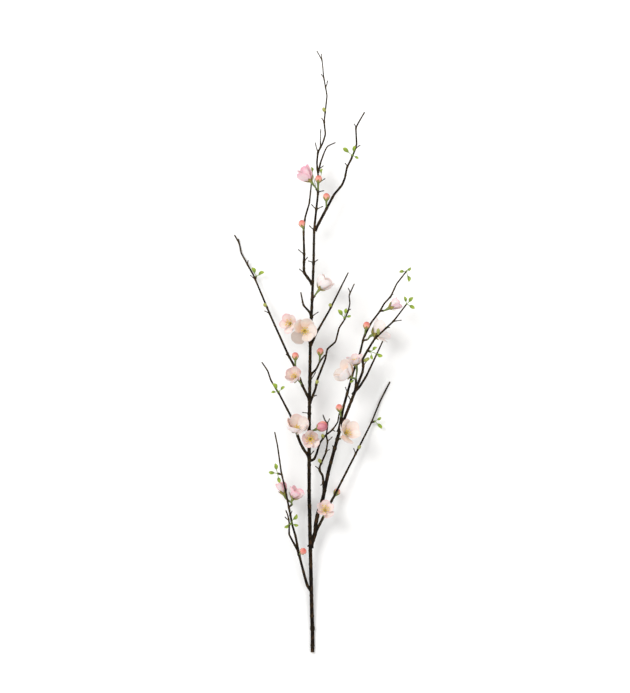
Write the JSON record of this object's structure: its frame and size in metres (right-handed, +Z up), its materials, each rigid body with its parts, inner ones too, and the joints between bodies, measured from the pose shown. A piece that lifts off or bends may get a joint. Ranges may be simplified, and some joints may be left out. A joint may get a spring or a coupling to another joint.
{
  "type": "blossom branch",
  "caption": "Cut branch of apple blossom that lies on a surface: dark forked wood with pale pink open flowers, round buds and young leaves.",
  "frame": {"origin": "middle of the footprint of the lying branch, on the surface that it lies on", "axes": "+Y along the branch from the cut end to the tip, +Z up from the surface, +X to the right of the branch seen from above with its tip away from the viewer"},
  "size_m": [0.3252, 1.0854, 0.1018],
  "materials": {
    "bark": "dark brown bark, slightly rough",
    "petal": "soft pale pink petal, satin",
    "pink": "coral pink closed petals, satin",
    "stamen": "golden yellow, matt",
    "calyx": "olive green, matt",
    "leaf": "fresh yellow-green leaf, satin"
  },
  "bodies": {
    "root": {"branch": "bark", "bud_big": "pink", "petals_01": "petal", "petals_02": "petal", "petals_03": "petal", "petals_04": "petal", "petals_05": "petal", "petals_06": "petal", "petals_07": "petal", "petals_09": "petal", "petals_10": "petal", "petals_11": "petal", "petals_12": "petal", "petals_13": "petal", "petals_14": "petal", "petals_15": "petal", "petals_16": "petal", "stamens_02": "stamen", "stamens_03": "stamen", "stamens_04": "stamen", "stamens_05": "stamen", "stamens_06": "stamen", "stamens_07": "stamen", "stamens_09": "stamen", "stamens_10": "stamen", "stamens_11": "stamen", "stamens_13": "stamen", "stamens_15": "stamen", "stamens_16": "stamen", "calyx_01": "calyx", "calyx_02": "calyx", "calyx_03_04": "calyx", "calyx_05": "calyx", "calyx_06": "calyx", "calyx_07": "calyx", "calyx_09_10": "calyx", "calyx_11": "calyx", "calyx_12": "calyx", "calyx_13": "calyx", "calyx_14_15": "calyx", "calyx_16": "calyx", "bud_1": "pink", "bud_2": "pink", "bud_3": "pink", "bud_4": "pink", "bud_5": "pink", "bud_6": "pink", "bud_7": "pink", "bud_8": "pink", "bud_9": "pink", "leaves_1": "leaf", "leaves_2": "leaf", "leaves_3": "leaf", "leaves_4": "leaf", "leaves_5": "leaf", "leaves_6": "leaf", "leaves_7": "leaf", "leaves_8": "leaf", "leaves_9": "leaf", "leaves_10": "leaf"}
  },
  "joints": []
}
